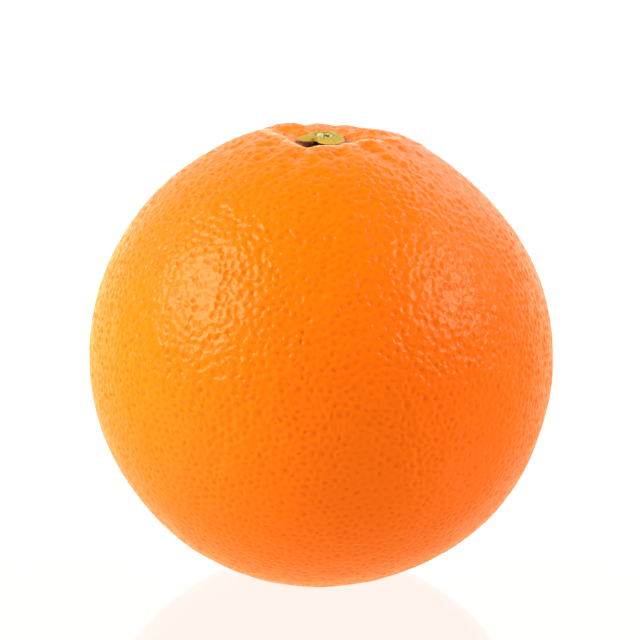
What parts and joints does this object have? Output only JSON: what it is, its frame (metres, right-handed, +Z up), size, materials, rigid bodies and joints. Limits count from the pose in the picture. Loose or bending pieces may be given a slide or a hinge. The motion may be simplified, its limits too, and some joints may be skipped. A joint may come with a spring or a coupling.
{
  "type": "orange",
  "caption": "Whole sweet orange with a pitted peel, standing on its blossom end, with the green calyx and the snapped stem still in the bowl at the top.",
  "frame": {"origin": "centre of the flat spot at the blossom end that the fruit rests on", "axes": "+Z up along the fruit's own axis to the stem end, -Y to the front, +X to the right seen from the front"},
  "size_m": [0.0804, 0.0806, 0.0794],
  "materials": {
    "peel": "waxy, pitted, softly glossy",
    "calyx_green": "matt, dry green to straw",
    "stem_pith": "matt, torn fibres"
  },
  "bodies": {
    "root": {"fruit": "peel", "calyx": "calyx_green", "stem_end": "stem_pith"}
  },
  "joints": []
}
